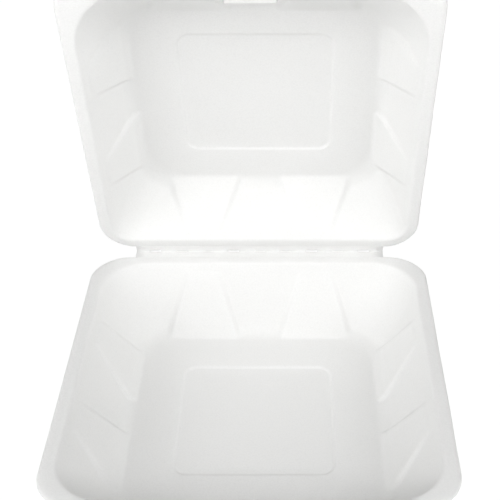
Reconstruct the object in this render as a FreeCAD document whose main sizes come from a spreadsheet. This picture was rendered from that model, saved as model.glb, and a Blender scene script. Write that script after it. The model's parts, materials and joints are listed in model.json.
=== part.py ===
"""Hinged foam food container: a tray and a lid pressed from one sheet of foam.

The frame stands at the centre of the tray's foot, with X to the right,
Y to the rear and Z up. The lid is drawn closed and then swung open about
the fold line, which runs along X behind the tray at rim height.
"""
import FreeCAD, Part
import math
import os
import Sketcher

V = FreeCAD.Vector

# Driving dimensions: name, value in millimetres or degrees, meaning
SIZES = [
    ("foam", 2.4, "thickness of the foam sheet"),
    ("opening", 75.2, "angle between the two rims as the container stands open"),
    ("closed_gap", 0.3, "gap between the two rims when closed"),
    ("fold_gap", 0.3, "gap between the two halves of the hinge strip"),
    ("floor_round", 10, "inner radius between walls and floor"),
    ("rim_round", 0.9, "rounding of the rim's outer edges"),
    ("mouth_round", 1.6, "rounding between rim and inner wall"),
    ("panel_side", 90, "side of the square pressed into each floor"),
    ("panel_corner", 8, "corner radius of the pressed square"),
    ("panel_step", 1.1, "depth of the pressed square"),
    ("rib_centre", 36, "each rib's distance from the middle of its wall"),
    ("rib_half", 23, "half a rib's width at the floor"),
    ("rib_tip", 10.5, "half a rib's width at its top"),
    ("rib_proud", 3.2, "how far a rib stands in from its wall at the floor"),
    ("rib_tip_proud", 0.8, "how far a rib stands in from its wall at its top"),
    ("rib_below_rim", 6, "distance of a rib's top below the rim"),
    ("strip_width", 161, "width of the hinge strip"),
    ("strip_foam", 1.2, "thickness of the hinge strip"),
    ("slit_count", 9, "slits along the fold"),
    ("slit_pitch", 17, "distance between slits"),
    ("slit_length", 7, "length of a slit"),
    ("slit_half", 0.5, "half the width of a slit"),
    ("ledge_width", 29, "width of the closing ledge on each front rim"),
    ("ledge_depth", 6.6, "height of the ledge's inner face"),
    ("tongue_width", 22, "width of the closing tongue"),
    ("tongue_foam", 2, "thickness of the closing tongue"),
    ("tongue_height", 2, "height of the tongue above the rim"),
    ("tongue_setback", 3.3, "front rim edge of the tray to the middle of the tongue"),
    ("tongue_fit", 0.5, "clearance round the tongue in its slot"),
    ("base_half_width", 106.5, "half the tray's rim width"),
    ("base_rear_rim", 106.5, "tray's middle to its rear rim edge"),
    ("base_front_rim", 106.5, "tray's middle to its front rim edge"),
    ("base_rim_corner", 24, "outline radius at the tray's rear rim corners"),
    ("base_front_rim_corner", 24, "outline radius at the tray's front rim corners"),
    ("base_flange", 8, "width of the tray's rim flange at the sides and rear"),
    ("base_front_mouth", 101.5, "tray's middle to the front edge of its mouth"),
    ("base_ledge", 2, "how far the tray's ledge reaches in from its front flange"),
    ("base_front_corner", 28, "radius of the tray's mouth at the front corners"),
    ("base_rear_corner", 28, "radius of the tray's mouth at the rear corners"),
    ("base_hollow", 41.7, "depth of the tray below its rim"),
    ("base_floor_inset", 30, "rim edge to the floor's edge in the tray"),
    ("base_front_floor", 76.5, "tray's middle to the front edge of its floor"),
    ("base_floor_corner", 26, "corner radius of the tray's floor"),
    ("base_press", 0, "tray's middle to the middle of its ribs and pressed square"),
    ("base_strip", 5, "tray rim to the fold line"),
    ("lid_half_width", 101.7, "half the lid's rim width"),
    ("lid_rear_rim", 104, "lid's middle to its rear rim edge"),
    ("lid_front_rim", 110.4, "lid's middle to its front rim edge"),
    ("lid_rim_corner", 21.6, "outline radius at the lid's rear rim corners"),
    ("lid_front_rim_corner", 28, "outline radius at the lid's front rim corners"),
    ("lid_flange", 7.4, "width of the lid's rim flange at the sides and rear"),
    ("lid_front_mouth", 96.6, "lid's middle to the front edge of its mouth"),
    ("lid_ledge", 8.8, "how far the lid's ledge reaches in from its front flange"),
    ("lid_front_corner", 39, "radius of the lid's mouth at the front corners"),
    ("lid_rear_corner", 13, "radius of the lid's mouth at the rear corners"),
    ("lid_hollow", 36.5, "depth of the lid below its rim"),
    ("lid_floor_inset", 25.5, "rim edge to the top panel's edge in the lid"),
    ("lid_front_floor", 60.5, "lid's middle to the front edge of its top panel"),
    ("lid_floor_corner", 26, "corner radius of the lid's top panel"),
    ("lid_press", 5.3, "lid's middle to the middle of its ribs and pressed square"),
    ("lid_strip", 3.4, "lid rim to the fold line"),
]

doc = FreeCAD.newDocument("foam_container")
sheet = doc.addObject("Spreadsheet::Sheet", "Sizes")
for row, (word, value, meaning) in enumerate(SIZES, start=1):
    sheet.set(f"A{row}", word)
    sheet.set(f"B{row}", str(value))
    sheet.set(f"C{row}", meaning)
    sheet.setAlias(f"B{row}", word)
doc.recompute()


def size(word):
    """A size's name as formulas use it."""
    return "Sizes." + word


def amount(formula):
    """The present value of a formula."""
    return float(sheet.evalExpression(formula))


class Half:
    """One pressed half, as formulas: depth runs from its rim plane to its floor."""

    def __init__(self, name, rim_height, downward):
        self.name = name
        self.rim_height = rim_height
        self.downward = downward
        self.body = doc.addObject("PartDesign::Body", name)
        self.body.Label = name
        planes = self.body.Origin.OriginFeatures
        self.across = next(p for p in planes if p.Role == "XY_Plane")
        self.middle = next(p for p in planes if p.Role == "YZ_Plane")
        self.rim_x = self.size("half_width")
        self.rim_y = self.size("rear_rim")
        self.front_rim = self.size("front_rim")
        self.mouth_x = f"{self.rim_x} - {self.size('flange')}"
        self.mouth_y = f"{self.rim_y} - {self.size('flange')}"
        self.front_mouth = self.size("front_mouth")
        self.floor_x = f"{self.rim_x} - {self.size('floor_inset')}"
        self.floor_y = f"{self.rim_y} - {self.size('floor_inset')}"
        self.front_floor = self.size("front_floor")
        # A wall leans outward by this much for each millimetre of height
        hollow = self.size("hollow")
        self.lean = f"(({self.size('floor_inset')} - {self.size('flange')}) / {hollow})"
        self.front_lean = f"(({self.front_mouth} - {self.front_floor}) / {hollow})"
        # The sheet measured level through a leaning wall
        self.wall = f"({size('foam')} * sqrt(1 + {self.lean} * {self.lean}))"
        self.front_wall = f"({size('foam')} * sqrt(1 + {self.front_lean} * {self.front_lean}))"

    def size(self, word):
        return size(f"{self.name}_{word}")

    def level(self, depth):
        """Height of a plane that lies a depth beyond the rim plane."""
        if self.downward:
            return f"{self.rim_height} - ({depth})"
        return f"{self.rim_height} + {depth}"

    def add(self, kind, name):
        return self.body.newObject(f"PartDesign::{kind}", f"{self.name}_{name}")

    def sketch(self, name, depth):
        sketch = self.body.newObject("Sketcher::SketchObject", f"{self.name}_{name}")
        sketch.AttachmentSupport = (self.across, [""])
        sketch.MapMode = "FlatFace"
        sketch.setExpression(".AttachmentOffset.Base.z", self.level(depth))
        return sketch

    def toward_floor(self, feature, inward=True):
        """Point a pad or pocket from the rim plane to the floor, or away from it."""
        into_material = feature.TypeId == "PartDesign::Pocket"
        feature.Reversed = (self.downward == inward) != into_material


def pin(sketch, kind, place, formula):
    """Fix a line's end at a distance from the origin; a leading minus is the far side."""
    line, end = place
    if formula.startswith("-"):
        formula = formula[1:]
        row = sketch.addConstraint(Sketcher.Constraint(kind, line, end, -1, 1, amount(formula)))
    else:
        row = sketch.addConstraint(Sketcher.Constraint(kind, -1, 1, line, end, amount(formula)))
    sketch.setExpression(f"Constraints[{row}]", formula)


def rectangle(half, name, depth, left, right, front, rear):
    """Four lines at distances from the half's middle planes."""
    sketch = half.sketch(name, depth)
    x0, x1, y0, y1 = (amount(side) for side in (left, right, front, rear))
    corners = [V(x0, y0, 0), V(x1, y0, 0), V(x1, y1, 0), V(x0, y1, 0)]
    for row in range(4):
        sketch.addGeometry(Part.LineSegment(corners[row], corners[(row + 1) % 4]))
    for row in range(4):
        sketch.addConstraint(Sketcher.Constraint("Coincident", row, 2, (row + 1) % 4, 1))
        sketch.addConstraint(Sketcher.Constraint(("Horizontal", "Vertical")[row % 2], row))
    pin(sketch, "DistanceX", (3, 1), left)
    pin(sketch, "DistanceX", (1, 1), right)
    pin(sketch, "DistanceY", (0, 1), front)
    pin(sketch, "DistanceY", (2, 1), rear)
    return sketch


def outline(half, name, depth, half_x, front_y, rear_y, front_corner, rear_corner):
    """Rectangle with round corners, even about X, counted round from the front side."""
    sketch = half.sketch(name, depth)
    x, y0, y1 = amount(half_x), -amount(front_y), amount(rear_y)
    front, rear = amount(front_corner), amount(rear_corner)
    ends = [
        (V(front - x, y0, 0), V(x - front, y0, 0)),
        (V(x, y0 + front, 0), V(x, y1 - rear, 0)),
        (V(x - rear, y1, 0), V(rear - x, y1, 0)),
        (V(-x, y1 - rear, 0), V(-x, y0 + front, 0)),
    ]
    centres = [
        (V(x - front, y0 + front, 0), front, 270),
        (V(x - rear, y1 - rear, 0), rear, 0),
        (V(rear - x, y1 - rear, 0), rear, 90),
        (V(front - x, y0 + front, 0), front, 180),
    ]
    for row in range(4):
        sketch.addGeometry(Part.LineSegment(*ends[row]))
    for centre, radius, start in centres:
        circle = Part.Circle(centre, V(0, 0, 1), radius)
        first = math.radians(start)
        sketch.addGeometry(Part.ArcOfCircle(circle, first, first + math.pi / 2))
    for row in range(4):
        sketch.addConstraint(Sketcher.Constraint("Tangent", row, 2, row + 4, 1))
        sketch.addConstraint(Sketcher.Constraint("Tangent", row + 4, 2, (row + 1) % 4, 1))
        sketch.addConstraint(Sketcher.Constraint(("Horizontal", "Vertical")[row % 2], row))
    sketch.addConstraint(Sketcher.Constraint("Equal", 4, 7))
    sketch.addConstraint(Sketcher.Constraint("Equal", 5, 6))
    pin(sketch, "DistanceX", (1, 1), half_x)
    pin(sketch, "DistanceX", (3, 1), f"-({half_x})")
    pin(sketch, "DistanceY", (0, 1), f"-({front_y})")
    pin(sketch, "DistanceY", (2, 1), rear_y)
    for arc, corner in ((4, front_corner), (5, rear_corner)):
        row = sketch.addConstraint(Sketcher.Constraint("Radius", arc, amount(corner)))
        sketch.setExpression(f"Constraints[{row}]", corner)
    return sketch


def loft(half, kind, name, near_rim, near_floor):
    """Straight-sided body or hollow between two sketches, from the upper one down."""
    upper, lower = (near_rim, near_floor) if half.downward else (near_floor, near_rim)
    feature = half.add(kind, name)
    feature.Profile = upper
    feature.Sections = [lower]
    feature.Ruled = True
    return feature


def extrude(half, kind, name, sketch, length, inward=True):
    feature = half.add(kind, name)
    feature.Profile = sketch
    feature.setExpression("Length", length)
    half.toward_floor(feature, inward)
    return feature


def beyond(centre, sides):
    """Whether a place lies outside a rectangle: half its width, its front and its rear."""
    return abs(centre.x) > sides[0] or -centre.y > sides[1] or centre.y > sides[2]


def level_edges(feature, height, inner, outer):
    """Names of the level edges at a height, between an inner and an outer rectangle."""
    names = []
    for row, edge in enumerate(feature.Shape.Edges, start=1):
        box = edge.BoundBox
        level = abs(box.ZMin - height) < 1e-4 and abs(box.ZMax - height) < 1e-4
        if level and beyond(box.Center, inner) and not beyond(box.Center, outer):
            names.append(f"Edge{row}")
    return names


def fillet(half, name, feature, depth, inner, outer, radius):
    """Round the straight level edges at a depth, and what runs on from them."""
    doc.recompute()
    found = level_edges(feature, amount(half.level(depth)), inner, outer)
    if not found:
        raise RuntimeError(f"no edges for {half.name}_{name}")
    rounded = half.add("Fillet", name)
    rounded.Base = (feature, found)
    rounded.setExpression("Radius", radius)
    return rounded


def pressed_shell(half):
    """Outer hull and rim flange, with the food space taken out."""
    foam, wall, front_wall = size("foam"), half.wall, half.front_wall
    corner = half.size("floor_corner")
    bottom = f"{half.size('hollow')} + {foam}"
    spread = f"({wall} - {foam} * {half.lean})"
    front_spread = f"({front_wall} - {foam} * {half.front_lean})"
    hull_sides = (f"{half.mouth_x} + {wall}", f"{half.front_mouth} + {front_wall}",
                  f"{half.mouth_y} + {wall}")
    rim = outline(half, "hull_rim", "0", *hull_sides,
                  f"{half.size('front_corner')} + {wall}", f"{half.size('rear_corner')} + {wall}")
    foot = outline(half, "hull_foot", bottom, f"{half.floor_x} + {spread}",
                   f"{half.front_floor} + {front_spread}", f"{half.floor_y} + {spread}",
                   f"{corner} + {spread}", f"{corner} + {spread}")
    hull = loft(half, "AdditiveLoft", "hull", rim, foot)
    middle = (0, 0, 0)
    rim_sides = (half.rim_x, half.front_rim, half.rim_y)
    mouth_sides = (half.mouth_x, half.front_mouth, half.mouth_y)
    floor_sides = (half.floor_x, half.front_floor, half.floor_y)
    floor_edge = [amount(f"{side} - {foam}") for side in floor_sides]
    hull_edge = [amount(side) for side in hull_sides]
    beyond_rim = [amount(f"{side} + {foam}") for side in rim_sides]
    fillet(half, "hull_round", hull, bottom, middle, beyond_rim, f"{size('floor_round')} + {foam}")

    edge = outline(half, "flange_edge", "0", *rim_sides,
                   half.size("front_rim_corner"), half.size("rim_corner"))
    flange = extrude(half, "Pad", "flange", edge, foam)
    top = fillet(half, "flange_round", flange, "0", hull_edge, beyond_rim, size("rim_round"))
    fillet(half, "flange_under", top, foam, hull_edge, beyond_rim, size("rim_round"))

    mouth = outline(half, "mouth", "0", *mouth_sides,
                    half.size("front_corner"), half.size("rear_corner"))
    floor = outline(half, "floor", half.size("hollow"), *floor_sides, corner, corner)
    hollow = loft(half, "SubtractiveLoft", "hollow", mouth, floor)
    rounded = fillet(half, "floor_rounding", hollow, half.size("hollow"), middle, beyond_rim,
                     size("floor_round"))
    fillet(half, "mouth_rounding", rounded, "0", floor_edge, hull_edge, size("mouth_round"))


def rib(half, side, centre):
    """One rib on a wall's food side, and the groove that it leaves outside."""
    foam = size("foam")
    front = side == "front"
    along_x = side in ("front", "rear")
    wall = half.front_wall if front else half.wall
    lean = half.front_lean if front else half.lean
    floor = {"front": half.front_floor, "rear": half.floor_y}.get(side, half.floor_x)
    tip_depth = size("rib_below_rim")
    rise = f"({half.size('hollow')} - {tip_depth})"
    tip_wall = f"{floor} + {rise} * {lean}"
    # The rib's face leans between its foot and its tip
    face_lean = f"({lean} + ({size('rib_proud')} - {size('rib_tip_proud')}) / {rise})"
    groove_half = f"({size('rib_half')} - {foam})"
    groove_tip = f"({size('rib_tip')} - {foam})"

    def span(middle, low, high):
        """The nearer and farther side of a strip, with a leading minus on the far side of zero."""
        if middle.startswith("-"):
            return f"-({middle[1:]} + {high})", f"-({middle[1:]} - {low})"
        return f"{middle} - {low}", f"{middle} + {high}"

    def section(name, depth, half_span, near, far):
        ends = span(centre, half_span, half_span)
        reach = (f"-({far})", f"-({near})") if front else (near, far)
        sides = (*ends, *reach) if along_x else (*reach, *ends)
        return rectangle(half, f"{side}_{name}", depth, *sides)

    foot = section("rib_foot", half.size("hollow"), size("rib_half"),
                   f"{floor} - {size('rib_proud')}", f"{floor} + {wall} / 2")
    tip = section("rib_top", tip_depth, size("rib_tip"),
                  f"{tip_wall} - {size('rib_tip_proud')}", f"{tip_wall} + {wall} / 2")
    raised = loft(half, "AdditiveLoft", f"{side}_rib", tip, foot)

    bottom = f"{half.size('hollow')} + {foam}"
    groove_foot = section("groove_foot", bottom, groove_half,
                          f"{floor} - {size('rib_proud')} + {wall} - {foam} * {face_lean}",
                          f"{floor} + {wall} + {foam}")
    groove_top_depth = f"({tip_depth} + {foam} * 2)"
    groove_top_wall = f"{floor} + ({half.size('hollow')} - {groove_top_depth}) * {lean}"
    groove_top = section("groove_top", groove_top_depth, groove_tip,
                         f"{groove_top_wall} + {wall} - {size('rib_tip_proud')}",
                         f"{groove_top_wall} + {wall} + {foam}")
    sunk = loft(half, "SubtractiveLoft", f"{side}_groove", groove_top, groove_foot)
    return [raised, sunk]


def ribs(half):
    """Two ribs on each wall: those on one side of the middle, mirrored to the other."""
    press, spacing = half.size("press"), size("rib_centre")
    originals = rib(half, "rear", spacing) + rib(half, "front", spacing)
    originals += rib(half, "side_rear", f"({spacing} + {press})")
    originals += rib(half, "side_front", f"-({spacing} - {press})")
    pattern = half.add("Mirrored", "ribs")
    pattern.Originals = originals
    pattern.MirrorPlane = (half.middle, [""])
    half.body.Tip = pattern


def pressed_square(half, raised_outside):
    """The square pressed into the floor from the food side."""
    side, press = f"{size('panel_side')} / 2", half.size("press")
    corner = size("panel_corner")
    bottom = f"{half.size('hollow')} + {size('foam')}"
    if raised_outside:
        grown = f"{side} + {size('foam')} / 2"
        back = outline(half, "square_back", bottom, grown, f"{grown} - {press}",
                       f"{grown} + {press}", corner, corner)
        extrude(half, "Pad", "square_raised", back, size("panel_step"))
    face = outline(half, "square_face", half.size("hollow"), side, f"{side} - {press}",
                   f"{side} + {press}", corner, corner)
    extrude(half, "Pocket", "square_sunk", face, size("panel_step"))


def ledge(half):
    """Wide spot in the front flange, hollowed from below."""
    foam, wall = size("foam"), half.front_wall
    width = f"{size('ledge_width')} / 2"
    inner = f"{half.front_mouth} - {half.size('ledge')}"
    block = rectangle(half, "ledge_plan", "0", f"-({width})", width,
                      f"-({half.front_mouth} + {wall} / 2)", f"-({inner})")
    extrude(half, "Pad", "ledge", block, size("ledge_depth"))
    recess = rectangle(half, "ledge_recess_plan", foam, f"-({width} - {foam})", f"{width} - {foam}",
                       f"-({half.front_rim})", f"-({inner} + {wall})")
    extrude(half, "Pocket", "ledge_recess", recess, f"{size('ledge_depth')} - {foam}")


def hinge_strip(half):
    """This half's part of the strip, with its side of each slit along the fold."""
    width = f"{size('strip_width')} / 2"
    fold = f"{half.rim_y} + {half.size('strip')}"
    edge = f"{fold} - {size('fold_gap')} / 2"
    plan = rectangle(half, "strip_plan", "0", f"-({width})", width,
                     f"{half.rim_y} - {size('rim_round')} * 2", edge)
    extrude(half, "Pad", "strip", plan, size("strip_foam"))
    span = f"(({size('slit_count')} - 1) * {size('slit_pitch')})"
    slit_plan = rectangle(half, "slit_plan", "0", f"{span} / 2 - {size('slit_length')} / 2",
                          f"{span} / 2 + {size('slit_length')} / 2",
                          f"{fold} - {size('slit_half')}", f"{fold} + {size('slit_half')}")
    slit = extrude(half, "Pocket", "slit", slit_plan, f"{size('strip_foam')} * 2")
    row = half.add("LinearPattern", "slits")
    row.Originals = [slit]
    row.Direction = (slit_plan, ["H_Axis"])
    row.Reversed = True
    row.setExpression("Length", span)
    row.setExpression("Occurrences", size("slit_count"))
    half.body.Tip = row


def tongue(half):
    """Low upright tongue on the tray's front ledge."""
    width = f"{size('tongue_width')} / 2"
    middle = f"{half.front_rim} - {size('tongue_setback')}"
    plan = rectangle(half, "tongue_plan", "0", f"-({width})", width,
                     f"-({middle} + {size('tongue_foam')} / 2)",
                     f"-({middle} - {size('tongue_foam')} / 2)")
    extrude(half, "Pad", "tongue", plan, size("tongue_height"), inward=False)


def slot(half, tray):
    """Slot in the lid's front ledge, over the tray's tongue when closed."""
    fit = size("tongue_fit")
    width = f"{size('tongue_width')} / 2 + {fit}"
    # Distances from the fold line give the tongue's place as the closed lid meets it
    from_fold = f"{tray.size('strip')} + {tray.rim_y} + {tray.front_rim} - {size('tongue_setback')}"
    middle = f"{from_fold} - {half.size('strip')} - {half.rim_y}"
    reach = f"({size('tongue_foam')} / 2 + {fit})"
    plan = rectangle(half, "slot_plan", "0", f"-({width})", width,
                     f"-({middle} + {reach})", f"-({middle} - {reach})")
    extrude(half, "Pocket", "slot", plan, f"{size('foam')} * 2")


base = Half("base", f"{size('base_hollow')} + {size('foam')}", downward=True)
pressed_shell(base)
ribs(base)
pressed_square(base, raised_outside=False)
ledge(base)
hinge_strip(base)
tongue(base)

lid = Half("lid", "0", downward=False)
pressed_shell(lid)
ribs(lid)
pressed_square(lid, raised_outside=True)
ledge(lid)
hinge_strip(lid)
slot(lid, base)

# The lid swings about the fold line, which lies midway in the closed gap
fold_y = f"{base.rim_y} + {base.size('strip')}"
fold_z = f"{base.rim_height} + {size('closed_gap')} / 2"
arm = f"({lid.size('strip')} + {lid.rim_y})"
lift = f"({size('closed_gap')} / 2)"
turn = f"{size('opening')} * 1 deg"
lid.body.Placement = FreeCAD.Placement(V(0, 0, 0), FreeCAD.Rotation(V(-1, 0, 0), 1))
lid.body.setExpression("Placement.Rotation.Angle", turn)
lid.body.setExpression("Placement.Base.y", f"{fold_y} - {arm} * cos({turn}) + {lift} * sin({turn})")
lid.body.setExpression("Placement.Base.z", f"{fold_z} + {arm} * sin({turn}) + {lift} * cos({turn})")

doc.recompute()
for item in doc.Objects:
    if "Invalid" in item.State or "Error" in item.State:
        raise RuntimeError(f"{item.Name} failed: {item.State}")
os.makedirs("parts", exist_ok=True)
for half in (base, lid):
    shape = half.body.Shape
    if shape.isNull() or not shape.isValid() or len(shape.Solids) != 1:
        raise RuntimeError(f"{half.name} is not one valid solid")
    box = shape.BoundBox
    print(half.name, "volume", round(shape.Volume), "box", box)
    shape.exportStep(f"parts/{half.body.Label}.step")
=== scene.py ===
"""White foam takeaway container, opened: dressed shells, hinge strip and studio.

Each half is one sheet of pressed foam. It is extruded ring by ring from the
middle of its food side, over the rim and back to the middle of its outside.
"""

import json
import math

import bmesh
import bpy
from bpy.props import FloatProperty, FloatVectorProperty, IntProperty, IntVectorProperty
from bpy.props import PointerProperty, StringProperty
from mathutils import Matrix, Vector, noise


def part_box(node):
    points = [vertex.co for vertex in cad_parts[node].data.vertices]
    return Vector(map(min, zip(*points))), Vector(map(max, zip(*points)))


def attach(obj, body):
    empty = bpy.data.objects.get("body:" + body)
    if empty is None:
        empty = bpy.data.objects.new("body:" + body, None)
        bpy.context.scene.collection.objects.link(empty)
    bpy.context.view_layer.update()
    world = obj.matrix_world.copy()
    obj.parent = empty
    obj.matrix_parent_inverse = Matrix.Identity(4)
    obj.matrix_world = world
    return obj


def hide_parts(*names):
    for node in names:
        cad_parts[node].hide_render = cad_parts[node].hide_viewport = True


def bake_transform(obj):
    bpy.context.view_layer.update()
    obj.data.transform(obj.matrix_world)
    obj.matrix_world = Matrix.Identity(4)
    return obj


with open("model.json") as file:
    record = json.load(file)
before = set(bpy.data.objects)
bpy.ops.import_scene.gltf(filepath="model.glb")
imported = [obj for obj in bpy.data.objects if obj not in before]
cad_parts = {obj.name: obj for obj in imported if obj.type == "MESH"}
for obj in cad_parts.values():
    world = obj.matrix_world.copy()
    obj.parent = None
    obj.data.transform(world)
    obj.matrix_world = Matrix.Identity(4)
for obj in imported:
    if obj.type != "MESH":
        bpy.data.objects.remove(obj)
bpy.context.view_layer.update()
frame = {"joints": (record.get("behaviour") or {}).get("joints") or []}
BASE_LOW, BASE_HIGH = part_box("base")
HINGE = next(joint for joint in frame["joints"] if joint["name"] == "lid_hinge")
FOLD = Vector(HINGE["pos_m"])
SWING = math.radians(HINGE["range_deg"][1])

bl_info = {
    "name": "Foam clamshell container",
    "version": (1, 0, 0),
    "blender": (4, 5, 0),
    "location": "View3D > Sidebar > Foam container",
    "description": "Builds a hinged foam food container and its studio",
    "category": "Object",
}

MM = 0.001


def length(label, default, description):
    return FloatProperty(name=label, description=description, default=default, unit="LENGTH", precision=5)


class FoamSizes(bpy.types.PropertyGroup):
    """Sizes that both pressed halves share."""
    sheet: length("Sheet", 2.4 * MM, "Thickness of the foam sheet")
    closed_gap: length("Closed gap", 0.3 * MM, "Gap between the two rims when closed")
    floor_round: length("Floor round", 10 * MM, "Inner radius between walls and floor")
    mouth_round: length("Mouth round", 2.2 * MM, "Radius between rim and inner wall")
    rim_roll: length("Rim roll", 2.4 * MM, "Width of the rounded rim edge")
    rim_top: FloatProperty(name="Rim top", description="Share of the sheet above the rim edge's middle",
                           default=0.62, subtype="FACTOR")
    panel_half: length("Panel half side", 45 * MM, "Half the side of the pressed square")
    panel_corner: length("Panel corner", 8 * MM, "Corner radius of the pressed square")
    panel_step: length("Panel step", 1.1 * MM, "Depth of the pressed square")
    panel_soft: length("Panel edge", 1.1 * MM, "Half the width of the square's soft edge")
    rib_centre: length("Rib centre", 36 * MM, "Each rib's distance from its wall's middle")
    rib_half: length("Rib half width", 23 * MM, "Half a rib's width at the floor")
    rib_tip: length("Rib top", 10.5 * MM, "Half a rib's width at its top")
    rib_proud: length("Rib height", 3.2 * MM, "How far a rib stands in at the floor")
    rib_tip_proud: length("Rib top height", 0.8 * MM, "How far a rib stands in at its top")
    rib_below_rim: length("Rib below rim", 6 * MM, "Distance of a rib's top below the rim")
    rib_soft: length("Rib edge", 2.2 * MM, "Width of a rib's soft edge")
    ledge_half: length("Ledge half width", 14.5 * MM, "Half the width of the closing ledge")
    ledge_depth: length("Ledge depth", 6.6 * MM, "Height of the ledge's inner face")
    ledge_soft: length("Ledge edge", 1.4 * MM, "Width of the ledge's soft ends")
    waviness: length("Waviness", 0.18 * MM, "How far the pressed sheet strays from true")
    waves: FloatProperty(name="Waves", description="Waves of the sheet to the metre", default=22)
    side_steps: IntProperty(name="Side steps", description="Mesh steps along each side", default=100)
    corner_steps: IntProperty(name="Corner steps", description="Mesh steps round each corner", default=24)
    wall_steps: IntProperty(name="Wall steps", description="Mesh steps down each wall", default=34)
    round_steps: IntProperty(name="Rounding steps", description="Mesh steps in the floor's rounding",
                             default=11)


class TraySizes(bpy.types.PropertyGroup):
    """Sizes of the tray."""
    half_width: length("Half width", BASE_HIGH[0], "Half the rim's width")
    rear_rim: length("Rear rim", 106.5 * MM, "Middle to the rear rim edge")
    front_rim: length("Front rim", -BASE_LOW[1], "Middle to the front rim edge")
    rim_corner: length("Rear rim corner", 24 * MM, "Outline radius at the rear")
    front_rim_corner: length("Front rim corner", 24 * MM, "Outline radius at the front")
    flange: length("Flange", 8 * MM, "Width of the flange at the sides and rear")
    front_mouth: length("Front mouth", 101.5 * MM, "Middle to the front edge of the mouth")
    front_corner: length("Front corner", 28 * MM, "Mouth radius at the front")
    rear_corner: length("Rear corner", 28 * MM, "Mouth radius at the rear")
    hollow: length("Hollow", 41.7 * MM, "Depth below the rim")
    floor_inset: length("Floor inset", 30 * MM, "Rim edge to floor edge at the sides and rear")
    front_floor: length("Front floor", 76.5 * MM, "Middle to the front edge of the floor")
    floor_corner: length("Floor corner", 26 * MM, "Corner radius of the floor")
    press: length("Press", 0, "Middle to the middle of the ribs and the pressed square")
    ledge: length("Ledge", 2 * MM, "How far the ledge reaches in from the front flange")
    strip: length("Strip", 5 * MM, "Rim edge to fold line")


class LidSizes(bpy.types.PropertyGroup):
    """Sizes of the lid."""
    half_width: length("Half width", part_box("lid")[1][0], "Half the rim's width")
    rear_rim: length("Rear rim", 104 * MM, "Middle to the rear rim edge")
    front_rim: length("Front rim", 110.4 * MM, "Middle to the front rim edge")
    rim_corner: length("Rear rim corner", 21.6 * MM, "Outline radius at the rear")
    front_rim_corner: length("Front rim corner", 28 * MM, "Outline radius at the front")
    flange: length("Flange", 7.4 * MM, "Width of the flange at the sides and rear")
    front_mouth: length("Front mouth", 96.6 * MM, "Middle to the front edge of the mouth")
    front_corner: length("Front corner", 39 * MM, "Mouth radius at the front")
    rear_corner: length("Rear corner", 13 * MM, "Mouth radius at the hinge")
    hollow: length("Hollow", 36.5 * MM, "Depth below the rim")
    floor_inset: length("Floor inset", 25.5 * MM, "Rim edge to the top panel's edge")
    front_floor: length("Front floor", 60.5 * MM, "Middle to the front edge of the top panel")
    floor_corner: length("Floor corner", 26 * MM, "Corner radius of the top panel")
    press: length("Press", 5.3 * MM, "Middle to the middle of the ribs and the pressed square")
    ledge: length("Ledge", 8.8 * MM, "How far the ledge reaches in from the front flange")
    strip: length("Strip", 3.4 * MM, "Rim edge to fold line")


class ClosureSizes(bpy.types.PropertyGroup):
    """Sizes of the hinge strip and of the tongue and slot."""
    strip_half: length("Strip half width", 80.5 * MM, "Half the width of the hinge strip")
    strip_foam: length("Strip thickness", 1.2 * MM, "Thickness of the pressed strip")
    strip_bend: length("Strip bend", 1.2 * MM, "How far the strip's bend reaches each side of the fold")
    slit_count: IntProperty(name="Slits", description="Slits along the fold", default=9)
    slit_pitch: length("Slit pitch", 17 * MM, "Distance between slits")
    slit_length: length("Slit length", 7 * MM, "Length of a slit")
    slit_half: length("Slit half width", 0.5 * MM, "Half the width of an open slit")
    slit_shut: FloatProperty(name="Shut slits", description="Share of that in a slit that has closed up",
                             default=0.2, subtype="FACTOR")
    open_slits: IntVectorProperty(name="Open slits", description="Slits that stand open, from the left",
                                  default=(0, 3, 6, 8), size=4)
    tongue_half: length("Tongue half width", 11 * MM, "Half the width of the tongue")
    tongue_foam: length("Tongue thickness", 2 * MM, "Thickness of the tongue")
    tongue_height: length("Tongue height", 2 * MM, "Height of the tongue above the rim")
    tongue_setback: length("Tongue setback", 3.3 * MM, "Front rim edge to the tongue's middle")
    tongue_fit: length("Tongue fit", 0.5 * MM, "Clearance round the tongue in its slot")
    tongue_corner: length("Tongue corner", 0.8 * MM, "Rounding of the tongue's upright edges")
    tongue_top: length("Tongue top", 0.6 * MM, "Rounding of the tongue's top edges")
    slot_corner: length("Slot corner", 0.9 * MM, "Rounding of the slot's corners")


class FoamFinish(bpy.types.PropertyGroup):
    """Colours and grain of the foam."""
    skin: StringProperty(name="Skin", description="Colour of the foam's skin", default="#EEEEED")
    hollows: StringProperty(name="Cells", description="Colour in the hollows of the cells", default="#E8E8E7")
    cell: length("Cell", 0.9 * MM, "Width of a foam cell")
    ripple: length("Ripple", 14 * MM, "Length of the sheet's faint ripples")


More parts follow.
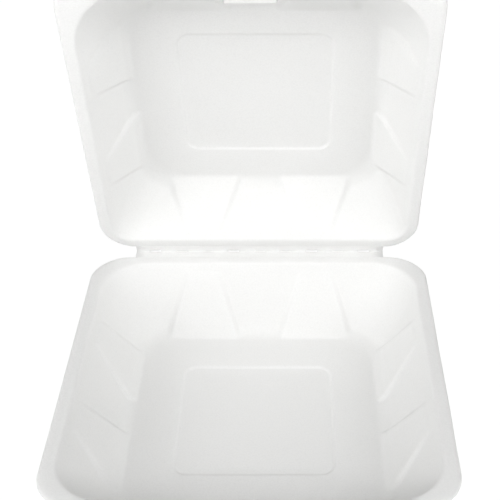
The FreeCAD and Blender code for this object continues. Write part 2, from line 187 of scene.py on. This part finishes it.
class StudioSettings(bpy.types.PropertyGroup):
    """Camera, lights and floor."""
    camera_place: FloatVectorProperty(
        name="Camera", description="Camera from the fold line", default=(0.022, -0.559, 0.388),
        subtype="XYZ", unit="LENGTH")
    camera_pitch: FloatProperty(
        name="Pitch", description="Camera's tilt below level", default=math.radians(34.7),
        subtype="ANGLE")
    focal_pixels: FloatProperty(name="Focal length", description="In picture pixels", default=1039)
    picture: FloatProperty(name="Picture", description="Side of the picture in pixels", default=500)
    centre_x: FloatProperty(name="Centre", description="Optical axis across the picture", default=293.3)
    white: StringProperty(name="White", description="Floor and backdrop", default="#FFFFFF")
    floor_glow: FloatProperty(name="Floor glow", default=0.9, subtype="FACTOR",
                              description="Share of plain white that the camera sees in the floor")
    floor_white: FloatProperty(name="Floor white", description="Strength of that white", default=1.07)
    sky: FloatProperty(name="Sky", description="Strength of the even light all round", default=0.065)
    front: FloatProperty(name="Front", description="Power of the front light", default=4.8, unit="POWER")
    left_high: FloatProperty(name="Left, high", description="Power of the upper left light",
                             default=3.2, unit="POWER")
    right_high: FloatProperty(name="Right, high", description="Power of the upper right light",
                              default=5.1, unit="POWER")
    left_low: FloatProperty(name="Left, low", description="Power of the lower left light",
                            default=5.1, unit="POWER")
    right_low: FloatProperty(name="Right, low", description="Power of the lower right light",
                             default=1.8, unit="POWER")
    rear: FloatProperty(name="Rear", description="Power of each of the two rear lights", default=3.2,
                        unit="POWER")
    lamp_distance: length("Lamp distance", 1.2, "Lamps to the container's middle")
    lamp_width: length("Lamp width", 0.9, "Width of each soft box")
    lamp_height: length("Lamp height", 0.7, "Height of each soft box")
    lamp_aim: FloatVectorProperty(name="Aim", description="Point that the lamps face",
                                  default=(0, 0.05, 0.08), subtype="XYZ", unit="LENGTH")


GROUPS = {
    "foam_sizes": FoamSizes,
    "tray_sizes": TraySizes,
    "lid_sizes": LidSizes,
    "closure_sizes": ClosureSizes,
    "foam_finish": FoamFinish,
    "studio_settings": StudioSettings,
}


def smooth(low, high, value):
    """Rises softly from 0 at low to 1 at high."""
    share = min(max((value - low) / (high - low), 0), 1)
    return share * share * (3 - 2 * share)


def linear(code):
    """A #RRGGBB colour as linear red, green, blue and alpha."""
    channels = [int(code[start:start + 2], 16) / 255 for start in (1, 3, 5)]
    return [c / 12.92 if c <= 0.04045 else ((c + 0.055) / 1.055) ** 2.4 for c in channels] + [1]


def face_out(builder):
    """Turns the faces of a closed piece outwards, which on a thin shell needs its volume's sign too."""
    bmesh.ops.recalc_face_normals(builder, faces=builder.faces)
    if builder.calc_volume(signed=True) < 0:
        bmesh.ops.reverse_faces(builder, faces=builder.faces)


def new_piece(name, mesh_builder, body, *replaced):
    """A finished piece that rides on a body, made from a bmesh."""
    mesh = bpy.data.meshes.new(name)
    mesh_builder.to_mesh(mesh)
    mesh_builder.free()
    mesh.polygons.foreach_set("use_smooth", [True] * len(mesh.polygons))
    piece = bpy.data.objects.new(name, mesh)
    bpy.context.scene.collection.objects.link(piece)
    piece.data.materials.append(foam_material())
    if body:
        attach(piece, body)
    if replaced:
        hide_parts(*replaced)
    return piece


# Materials

def add_node(tree, kind, settings=None, links=None):
    """A shader node with its settings and the sockets that feed it."""
    node = tree.nodes.new(kind)
    for key, value in (settings or {}).items():
        if hasattr(node, key):
            setattr(node, key, value)
        else:
            node.inputs[key].default_value = value
    for key, source in (links or {}).items():
        tree.links.new(source, node.inputs[key])
    return node


def foam_material():
    """Extruded polystyrene foam, pressed: white, soft and faintly satin from its closed skin."""
    name = "pressed_polystyrene_foam"
    if name in bpy.data.materials:
        return bpy.data.materials[name]
    finish = bpy.context.scene.foam_finish
    material = bpy.data.materials.new(name)
    material.use_nodes = True
    tree = material.node_tree
    tree.nodes.clear()
    place = add_node(tree, "ShaderNodeTexCoord").outputs["Object"]
    # Foam cells are a few tenths of a millimetre; they are drawn a little coarser to show at all
    cells = add_node(tree, "ShaderNodeTexVoronoi",
                     {"feature": "SMOOTH_F1", "Scale": 1 / finish.cell, "Smoothness": 0.6},
                     {"Vector": place})
    ripple = add_node(tree, "ShaderNodeTexNoise",
                      {"Scale": 1 / finish.ripple, "Detail": 3.0, "Roughness": 0.5},
                      {"Vector": place})
    tint = add_node(tree, "ShaderNodeMix", {"data_type": "RGBA"}, {0: cells.outputs["Distance"]})
    tint.inputs[6].default_value = linear(finish.skin)
    tint.inputs[7].default_value = linear(finish.hollows)
    grain = add_node(tree, "ShaderNodeBump", {"Strength": 0.08, "Distance": 0.08 * MM},
                     {"Height": cells.outputs["Distance"]})
    waves = add_node(tree, "ShaderNodeBump", {"Strength": 0.18, "Distance": 0.5 * MM},
                     {"Height": ripple.outputs["Fac"], "Normal": grain.outputs["Normal"]})
    skin = add_node(tree, "ShaderNodeBsdfPrincipled",
                    {"Roughness": 0.52, "IOR": 1.4, "Subsurface Weight": 0.25,
                     "Subsurface Radius": (1.0, 1.0, 1.0), "Subsurface Scale": 1.5 * MM},
                    {"Base Color": tint.outputs[2], "Normal": waves.outputs["Normal"]})
    add_node(tree, "ShaderNodeOutputMaterial", links={"Surface": skin.outputs["BSDF"]})
    return material


# Pressed halves

class Wall:
    """A half's section through one wall: insets from the rim edge, depths below the rim."""

    def __init__(self, sizes, flange, floor_inset, corners):
        self.foam = bpy.context.scene.foam_sizes
        self.hollow = sizes.hollow
        self.flange = flange
        self.floor_inset = floor_inset
        self.corners = corners
        self.lean = (floor_inset - flange) / self.hollow
        self.thick = self.foam.sheet * math.sqrt(1 + self.lean * self.lean)

    def corner(self, inset, grown):
        """Outline radius at an inset; grown is how far the outer face lies from the inner one."""
        rim, mouth, floor = self.corners
        inset += grown
        if inset < self.flange:
            radius = rim + (mouth - rim) * max(inset, 0) / self.flange
        else:
            share = (inset - self.flange) / (self.floor_inset - self.flange)
            radius = mouth + (floor - mouth) * min(share, 1)
        return radius + grown

    def stop(self, inset, depth, zone="plain"):
        """One step of the section."""
        grown = self.thick if zone == "outer" else 0
        return {"inset": inset, "depth": depth, "corner": self.corner(inset, grown), "zone": zone}

    def slope(self, depth, radius, top, zone):
        """Steps from the floor's edge, round its rounding and up the wall to a top depth."""
        grown = self.thick if zone == "outer" else 0
        edge = self.floor_inset - grown + (depth - self.hollow) * self.lean
        turn = math.pi / 2 - math.atan(self.lean)
        reach = radius * math.tan(turn / 2)
        steps = []
        for row in range(self.foam.round_steps + 1):
            angle = turn * row / self.foam.round_steps
            inset = edge + reach - radius * math.sin(angle)
            steps.append(self.stop(inset, depth - radius * (1 - math.cos(angle)), zone))
        low = depth - radius * (1 - math.cos(turn))
        for row in range(1, self.foam.wall_steps + 1):
            level = low + (top - low) * row / self.foam.wall_steps
            steps.append(self.stop(edge + (level - depth) * self.lean, level, zone))
        return steps

    def section(self):
        """All steps from the floor, over the rim and back under the floor."""
        foam = self.foam
        sheet, roll, radius = foam.sheet, foam.rim_roll, foam.mouth_round
        spread = foam.floor_round * 1.6 + self.floor_inset
        turn = math.pi / 2 - math.atan(self.lean)
        reach = radius * math.tan(turn / 2)
        steps = [self.stop(spread, self.hollow)]
        start = radius * (1 - math.cos(turn))
        steps += self.slope(self.hollow, foam.floor_round, start, "inner")
        for row in range(1, 6):
            angle = turn * (1 - row / 5)
            inset = self.flange - reach + radius * math.sin(angle)
            steps.append(self.stop(inset, radius * (1 - math.cos(angle)), "inner"))
        for share in (0.75, 0.5):
            steps.append(self.stop(roll + (self.flange - reach - roll) * share, 0))
        # The rim's edge is rolled over wide above and narrow below
        top, under = foam.rim_top, 1 - foam.rim_top
        for row in range(7):
            angle = math.pi / 2 * row / 6
            steps.append(self.stop(roll * (1 - math.sin(angle)), sheet * top * (1 - math.cos(angle))))
        for row in range(1, 4):
            angle = math.pi / 2 * row / 3
            steps.append(self.stop(sheet * under * (1 - math.cos(angle)),
                                   sheet * (top + under * math.sin(angle))))
        hull = self.flange - self.thick + sheet * self.lean
        for share in (0.45, 0.9):
            steps.append(self.stop(hull * share, sheet))
        back = self.slope(self.hollow + sheet, foam.floor_round + sheet, sheet * 1.4, "outer")
        steps += reversed(back)
        steps.append(self.stop(spread, self.hollow + sheet))
        return steps

    def rib(self, along, behind, step):
        """How far a wall's point moves in for a rib: along its wall, behind its plane."""
        foam = self.foam
        outer = step["zone"] == "outer"
        share = (step["depth"] - foam.rib_below_rim) / (self.hollow - foam.rib_below_rim)
        half = foam.rib_tip + (foam.rib_half - foam.rib_tip) * share
        soft = foam.rib_soft
        if outer:
            half -= foam.sheet * 0.8
            soft *= 1.4
        away = abs(abs(along) - foam.rib_centre)
        if share < -0.1 or away > half + soft:
            return 0
        side = smooth(-soft / 2, soft / 2, half - away)
        top = smooth(-soft / 2, soft / 2, step["depth"] - foam.rib_below_rim)
        floor = self.floor_inset - (self.thick if outer else 0)
        fade = 1 - smooth(floor - 2 * MM, floor + 6.5 * MM, step["inset"])
        proud = foam.rib_tip_proud + (foam.rib_proud - foam.rib_tip_proud) * share
        return max(proud - behind, 0) * side * top * fade

    def ledge(self, along, reach, step):
        """How far a front wall's point moves in for the closing ledge."""
        foam = self.foam
        half = foam.ledge_half - (foam.sheet if step["zone"] == "outer" else 0)
        soft = foam.ledge_soft
        side = smooth(-soft / 2, soft / 2, half - abs(along))
        below = 1 - smooth(-soft / 2, soft / 2, step["depth"] - foam.ledge_depth)
        return max(reach - self.lean * step["depth"], 0) * side * below


class Half:
    """One pressed half as rings, from the middle of its food side to that of its outside."""

    def __init__(self, sizes):
        self.foam = bpy.context.scene.foam_sizes
        self.sizes = sizes
        self.side = Wall(sizes, sizes.flange, sizes.floor_inset,
                         (sizes.rim_corner, sizes.rear_corner, sizes.floor_corner))
        self.front = Wall(sizes, sizes.front_rim - sizes.front_mouth,
                          sizes.front_rim - sizes.front_floor,
                          (sizes.front_rim_corner, sizes.front_corner, sizes.floor_corner))

    def square(self, half, corner, depth):
        """A ring of the pressed square."""
        press = self.sizes.press
        step = {"depth": depth, "corner": corner, "zone": "plain"}
        return half, half - press, half + press, step, step

    def pressed(self, depth, step):
        """Rings from the middle of a floor to the outside of its pressed square."""
        foam = self.foam
        half, soft, corner = foam.panel_half, foam.panel_soft, foam.panel_corner
        rings = [self.square(half * share, corner * share, depth + step) for share in (0.02, 0.5, 0.85)]
        for share in (-1, -0.6, -0.25, 0, 0.25, 0.6, 1):
            sunk = step * (1 - smooth(-1, 1, share))
            rings.append(self.square(half + soft * share, corner + soft * share, depth + sunk))
        return rings

    def rings(self, raised_outside):
        """Each ring's half width, front, rear, side step and front step."""
        foam, sizes = self.foam, self.sizes
        rings = self.pressed(sizes.hollow, foam.panel_step)
        for side, front in zip(self.side.section(), self.front.section()):
            rings.append((sizes.half_width - side["inset"], sizes.front_rim - front["inset"],
                          sizes.rear_rim - side["inset"], side, front))
        raised = foam.panel_step if raised_outside else 0
        rings += reversed(self.pressed(sizes.hollow + foam.sheet, raised))
        return rings

    def points(self, ring):
        """A ring's points across, along and deep, with its ribs and ledge."""
        foam = self.foam
        half_x, front_y, rear_y, side, front = ring
        corners = ((1, -front_y, front, -90), (1, rear_y, side, 0),
                   (-1, rear_y, side, 90), (-1, -front_y, front, 180))
        arcs = []
        for turn, (hand, end, step, first) in enumerate(corners):
            radius = step["corner"]
            middle = Vector((hand * (half_x - radius), end - math.copysign(radius, end), 0))
            arc = []
            for row in range(foam.corner_steps + 1):
                share = row / foam.corner_steps
                angle = math.radians(first + 90 * share)
                # The depth passes from the front wall's to the side wall's round a front corner
                toward_side = (share, 1, 1, 1 - share)[turn]
                depth = front["depth"] + (side["depth"] - front["depth"]) * smooth(0, 1, toward_side)
                place = middle + radius * Vector((math.cos(angle), math.sin(angle), 0))
                place.z = depth
                arc.append(place)
            arcs.append(arc)
        points = []
        for turn, arc in enumerate(arcs):
            points += arc[:-1]
            following = arcs[(turn + 1) % 4][0]
            for row in range(foam.side_steps):
                points.append(arc[-1].lerp(following, row / foam.side_steps))
        if side["zone"] != "plain":
            points = [self.shaped(point, ring) for point in points]
        return points

    def shaped(self, point, ring):
        """A wall's point with the rib or ledge that it lies on."""
        half_x, front_y, rear_y, side, front = ring
        x, y, depth = point
        across = self.side.rib(y - self.sizes.press, half_x - abs(x), side)
        if y > 0:
            along = -self.side.rib(x, rear_y - y, side)
        else:
            along = self.front.rib(x, front_y + y, front)
            if abs(x) < self.foam.ledge_half * 1.2:
                along = max(along, self.front.ledge(x, self.sizes.ledge, front))
        return Vector((x - math.copysign(across, x), y + along, depth))


def pressed_half(sizes, raised_outside, place, seed):
    """A closed shell, extruded ring by ring and laid in its place."""
    foam = bpy.context.scene.foam_sizes
    half = Half(sizes)
    rings = half.rings(raised_outside)
    around = 4 * (foam.side_steps + foam.corner_steps)
    shell = bmesh.new()
    bmesh.ops.create_circle(shell, segments=around, radius=1)
    order = shell.verts.layers.int.new("order")
    for row, vert in enumerate(shell.verts):
        vert[order] = row
    edges = list(shell.edges)
    verts = list(shell.verts)
    first = verts
    for row, ring in enumerate(rings):
        if row:
            grown = bmesh.ops.extrude_edge_only(shell, edges=edges)["geom"]
            verts = [item for item in grown if isinstance(item, bmesh.types.BMVert)]
            edges = [item for item in grown if isinstance(item, bmesh.types.BMEdge)]
        points = half.points(ring)
        for vert in verts:
            vert.co = points[vert[order]]
    for cap in (first, verts):
        middle = sum((vert.co for vert in cap), Vector()) / len(cap)
        bmesh.ops.pointmerge(shell, verts=cap, merge_co=middle)
    shell.transform(place)
    # Without a seed the noise differs from run to run
    noise.seed_set(seed)
    for vert in shell.verts:
        stray = noise.noise_vector(vert.co * foam.waves)
        vert.co += stray * foam.waviness
    face_out(shell)
    return shell


def tray_place():
    """From depth below the rim to height above the tray's foot."""
    foam, tray = bpy.context.scene.foam_sizes, bpy.context.scene.tray_sizes
    return Matrix.Translation((0, 0, tray.hollow + foam.sheet)) @ Matrix.Scale(-1, 4, (0, 0, 1))


def lid_place():
    """From the closed lid's own place to where it stands, swung open about the fold."""
    foam, lid = bpy.context.scene.foam_sizes, bpy.context.scene.lid_sizes
    closed = Matrix.Translation((0, -(lid.strip + lid.rear_rim), foam.closed_gap / 2))
    return Matrix.Translation(FOLD) @ Matrix.Rotation(-SWING, 4, "X") @ closed


class BuildTray(bpy.types.Operator):
    """Press the tray with its flange, ribs, ledge and floor square"""
    bl_idname = "foam_container.build_tray"
    bl_label = "Tray"

    def execute(self, context):
        shell = pressed_half(context.scene.tray_sizes, False, tray_place(), 3)
        new_piece("tray_shell", shell, "base", "base")
        return {"FINISHED"}


class BuildLid(bpy.types.Operator):
    """Press the lid and cut its closing slot"""
    bl_idname = "foam_container.build_lid"
    bl_label = "Lid"

    def execute(self, context):
        shell = pressed_half(context.scene.lid_sizes, True, lid_place(), 8)
        lid = new_piece("lid_shell", shell, "lid", "lid")
        cut_slot(lid)
        return {"FINISHED"}


def cut_slot(lid):
    """The slot through the lid's ledge, where the closed tray's tongue comes up."""
    scene = bpy.context.scene
    closure, foam = scene.closure_sizes, scene.foam_sizes
    tray, sizes = scene.tray_sizes, scene.lid_sizes
    from_fold = tray.strip + tray.rear_rim + tray.front_rim - closure.tongue_setback
    middle = from_fold - sizes.strip - sizes.rear_rim
    block = bmesh.new()
    bmesh.ops.create_cube(block, size=1)
    wide = 2 * (closure.tongue_half + closure.tongue_fit)
    deep = closure.tongue_foam + 2 * closure.tongue_fit
    bmesh.ops.scale(block, vec=(wide, deep, foam.sheet * 3), verts=block.verts)
    upright = [edge for edge in block.edges if abs(edge.verts[0].co.z - edge.verts[1].co.z) > 1e-6]
    bmesh.ops.bevel(block, geom=upright, offset=closure.slot_corner, segments=4, profile=0.5,
                    affect="EDGES", material=-1)
    bmesh.ops.translate(block, vec=(0, -middle, foam.sheet / 2), verts=block.verts)
    block.transform(lid_place())
    mesh = bpy.data.meshes.new("slot_cutter")
    block.to_mesh(mesh)
    block.free()
    cutter = bpy.data.objects.new("slot_cutter", mesh)
    scene.collection.objects.link(cutter)
    slot = lid.modifiers.new("slot", "BOOLEAN")
    slot.operation = "DIFFERENCE"
    slot.solver = "EXACT"
    slot.object = cutter
    bpy.context.view_layer.update()
    cut = bpy.data.meshes.new_from_object(lid.evaluated_get(bpy.context.evaluated_depsgraph_get()))
    lid.modifiers.clear()
    old = lid.data
    lid.data = cut
    bpy.data.meshes.remove(old)
    cut.name = "lid_shell"
    bpy.data.objects.remove(cutter)


class BuildTongue(bpy.types.Operator):
    """Raise the closing tongue on the tray's front ledge"""
    bl_idname = "foam_container.build_tongue"
    bl_label = "Tongue"

    def execute(self, context):
        scene = context.scene
        closure, foam, tray = scene.closure_sizes, scene.foam_sizes, scene.tray_sizes
        block = bmesh.new()
        bmesh.ops.create_cube(block, size=1)
        buried = foam.sheet / 2
        size = (2 * closure.tongue_half, closure.tongue_foam, closure.tongue_height + buried)
        bmesh.ops.scale(block, vec=size, verts=block.verts)
        upright = [edge for edge in block.edges
                   if abs(edge.verts[0].co.z - edge.verts[1].co.z) > 1e-6]
        bmesh.ops.bevel(block, geom=upright, offset=closure.tongue_corner, segments=4, profile=0.5,
                        affect="EDGES", material=-1)
        top = [edge for edge in block.edges if min(vert.co.z for vert in edge.verts) > 0
               and abs(edge.verts[0].co.z - edge.verts[1].co.z) < 1e-6]
        bmesh.ops.bevel(block, geom=top, offset=closure.tongue_top, segments=4, profile=0.5,
                        affect="EDGES", material=-1)
        rim = tray.hollow + foam.sheet
        middle = tray.front_rim - closure.tongue_setback
        bmesh.ops.translate(block, vec=(0, -middle, rim - buried + size[2] / 2), verts=block.verts)
        face_out(block)
        new_piece("closing_tongue", block, "base")
        return {"FINISHED"}


class BuildStrip(bpy.types.Operator):
    """Lay the perforated hinge strip over the fold"""
    bl_idname = "foam_container.build_strip"
    bl_label = "Hinge strip"

    def execute(self, context):
        piece = new_piece("hinge_strip", strip_mesh(), None)
        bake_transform(piece)
        return {"FINISHED"}


def strip_mesh():
    """A thin web from the tray's rim, round the fold and up to the lid's rim."""
    scene = bpy.context.scene
    closure, foam = scene.closure_sizes, scene.foam_sizes
    tray, lid = scene.tray_sizes, scene.lid_sizes
    half, thick = closure.strip_half, closure.strip_foam
    web = bmesh.new()
    # Across: steps that fall on every slit's ends; along: from the tray's rim to the lid's rim
    span = (closure.slit_count - 1) * closure.slit_pitch
    cuts = [-half]
    for row in range(closure.slit_count):
        middle = row * closure.slit_pitch - span / 2
        for share in (-0.5, -0.4, 0, 0.4, 0.5):
            cuts.append(middle + share * closure.slit_length)
        if row < closure.slit_count - 1:
            cuts.append(middle + closure.slit_pitch / 2)
    cuts.append(half)
    under = foam.rim_roll * 1.2
    reaches = [-(tray.strip + under), -tray.strip, -3.2 * MM, -1.6 * MM, -closure.slit_half,
               closure.slit_half, 1.3 * MM, 2.2 * MM, lid.strip, lid.strip + under]
    bmesh.ops.create_grid(web, x_segments=len(cuts) - 1, y_segments=len(reaches) - 1, size=1)
    columns = sorted({round(vert.co.x, 5) for vert in web.verts})
    rows = sorted({round(vert.co.y, 5) for vert in web.verts})
    for vert in web.verts:
        across = cuts[columns.index(round(vert.co.x, 5))]
        reach = reaches[rows.index(round(vert.co.y, 5))]
        row = round((across + span / 2) / closure.slit_pitch)
        if abs(reach) <= closure.slit_half and row not in closure.open_slits:
            reach *= closure.slit_shut
        vert.co = Vector((across, reach, 0))
    slits = []
    for face in web.faces:
        middle = face.calc_center_median()
        row = round((middle.x + span / 2) / closure.slit_pitch)
        offset = middle.x + span / 2 - row * closure.slit_pitch
        inside = 0 <= row < closure.slit_count and abs(offset) < closure.slit_length / 2
        if inside and abs(middle.y) < closure.slit_half:
            slits.append(face)
    bmesh.ops.delete(web, geom=slits, context="FACES")
    sheet = bmesh.ops.extrude_face_region(web, geom=web.faces[:])["geom"]
    lower = [item for item in sheet if isinstance(item, bmesh.types.BMVert)]
    for vert in lower:
        vert.co.z = -thick
    for vert in web.verts:
        vert.co = folded(vert.co)
    face_out(web)
    return web


def folded(point):
    """A point of the flat strip, bent round the fold: minus is the tray, plus is the lid."""
    bend = bpy.context.scene.closure_sizes.strip_bend
    turned = math.pi - SWING
    share = smooth(-bend, bend, point.y)
    angle = turned * share
    # The middle line is walked in short steps so that the bend stays smooth
    steps = 16
    place = Vector((0, 0, 0))
    for row in range(steps):
        part = point.y * (row + 0.5) / steps
        lean = turned * (smooth(-bend, bend, part) - 0.5)
        place += Vector((0, math.cos(lean), math.sin(lean))) * point.y / steps
    normal = Vector((0, -math.sin(angle - turned / 2), math.cos(angle - turned / 2)))
    local = place + normal * point.z
    level = Matrix.Rotation(turned / 2, 4, "X")
    return FOLD + Vector((point.x, 0, 0)) + level @ local


class BuildStudio(bpy.types.Operator):
    """Set the floor, the soft boxes and the camera"""
    bl_idname = "foam_container.build_studio"
    bl_label = "Studio"

    def execute(self, context):
        build_floor(context.scene.studio_settings)
        build_lights(context.scene.studio_settings)
        build_camera(context.scene.studio_settings)
        return {"FINISHED"}


def build_floor(studio):
    """A white sheet of floor that looks white to the camera and keeps a soft shadow."""
    floor = bmesh.new()
    bmesh.ops.create_grid(floor, x_segments=1, y_segments=1, size=6)
    mesh = bpy.data.meshes.new("studio_floor")
    floor.to_mesh(mesh)
    floor.free()
    sheet = bpy.data.objects.new("studio_floor", mesh)
    bpy.context.scene.collection.objects.link(sheet)
    sheet.location.z = -0.2 * MM
    material = bpy.data.materials.new("white_studio_sheet")
    material.use_nodes = True
    tree = material.node_tree
    tree.nodes.clear()
    path = add_node(tree, "ShaderNodeLightPath").outputs["Is Camera Ray"]
    share = add_node(tree, "ShaderNodeMath", {"operation": "MULTIPLY"}, {0: path})
    share.inputs[1].default_value = studio.floor_glow
    matte = add_node(tree, "ShaderNodeBsdfDiffuse", {"Color": linear(studio.white)})
    glow = add_node(tree, "ShaderNodeEmission",
                    {"Color": linear(studio.white), "Strength": studio.floor_white})
    mix = add_node(tree, "ShaderNodeMixShader", links={0: share.outputs[0], 1: matte.outputs[0],
                                                       2: glow.outputs[0]})
    add_node(tree, "ShaderNodeOutputMaterial", links={"Surface": mix.outputs[0]})
    mesh.materials.append(material)


def build_lights(studio):
    """Soft boxes in front and wide to both sides, a weak pair behind, and a trace of light all round."""
    world = bpy.data.worlds.new("studio_light")
    bpy.context.scene.world = world
    world.use_nodes = True
    tree = world.node_tree
    tree.nodes.clear()
    path = add_node(tree, "ShaderNodeLightPath").outputs["Is Camera Ray"]
    even = add_node(tree, "ShaderNodeBackground", {"Color": linear(studio.white), "Strength": studio.sky})
    seen = add_node(tree, "ShaderNodeBackground", {"Color": linear(studio.white), "Strength": 1.0})
    mix = add_node(tree, "ShaderNodeMixShader", links={0: path, 1: even.outputs[0], 2: seen.outputs[0]})
    add_node(tree, "ShaderNodeOutputWorld", links={"Surface": mix.outputs[0]})
    soft_box(studio, "front", studio.front, (0, -0.7, 0.7))
    soft_box(studio, "left_high", studio.left_high, (-0.7, -0.5, 0.6))
    soft_box(studio, "right_high", studio.right_high, (0.7, -0.5, 0.6))
    soft_box(studio, "left_low", studio.left_low, (-0.75, -0.55, 0.3))
    soft_box(studio, "right_low", studio.right_low, (0.75, -0.55, 0.3))
    # The rear pair lights the outside of the lid and lies low, so the lid keeps it off the tray
    soft_box(studio, "rear_left", studio.rear, (-0.35, 0.93, 0.08))
    soft_box(studio, "rear_right", studio.rear, (0.35, 0.93, 0.08))


def soft_box(studio, name, power, toward):
    """One rectangular lamp that faces the container from a direction."""
    lamp = bpy.data.lights.new(name, "AREA")
    lamp.shape = "RECTANGLE"
    lamp.size, lamp.size_y = studio.lamp_width, studio.lamp_height
    lamp.energy = power
    box = bpy.data.objects.new(name, lamp)
    bpy.context.scene.collection.objects.link(box)
    away = Vector(toward).normalized()
    box.location = Vector(studio.lamp_aim) + away * studio.lamp_distance
    box.rotation_euler = (-away).to_track_quat("-Z", "Y").to_euler()


def build_camera(studio):
    """The photograph's viewpoint, over the front of the tray."""
    data = bpy.data.cameras.new("camera")
    data.sensor_width = 36
    data.lens = studio.focal_pixels / studio.picture * data.sensor_width
    data.shift_x = 0.5 - studio.centre_x / studio.picture
    camera = bpy.data.objects.new("camera", data)
    bpy.context.scene.collection.objects.link(camera)
    camera.location = FOLD + Vector(studio.camera_place)
    camera.rotation_euler = (math.pi / 2 - studio.camera_pitch, 0, 0)
    bpy.context.scene.camera = camera


class ContainerPanel(bpy.types.Panel):
    """Lists the steps that build the container"""
    bl_idname = "VIEW3D_PT_foam_container"
    bl_label = "Foam container"
    bl_space_type = "VIEW_3D"
    bl_region_type = "UI"
    bl_category = "Foam container"

    def draw(self, context):
        for step in STEPS:
            self.layout.operator(step.bl_idname)


STEPS = (BuildTray, BuildLid, BuildTongue, BuildStrip, BuildStudio)


def register():
    for group in (*GROUPS.values(), *STEPS, ContainerPanel):
        bpy.utils.register_class(group)
    for name, group in GROUPS.items():
        setattr(bpy.types.Scene, name, PointerProperty(type=group))


def unregister():
    for name in GROUPS:
        delattr(bpy.types.Scene, name)
    for group in reversed((*GROUPS.values(), *STEPS, ContainerPanel)):
        bpy.utils.unregister_class(group)


def main():
    register()
    bpy.context.scene.view_settings.view_transform = "Standard"
    bpy.ops.foam_container.build_tray()
    bpy.ops.foam_container.build_lid()
    bpy.ops.foam_container.build_tongue()
    bpy.ops.foam_container.build_strip()
    bpy.ops.foam_container.build_studio()


if __name__ == "__main__":
    main()
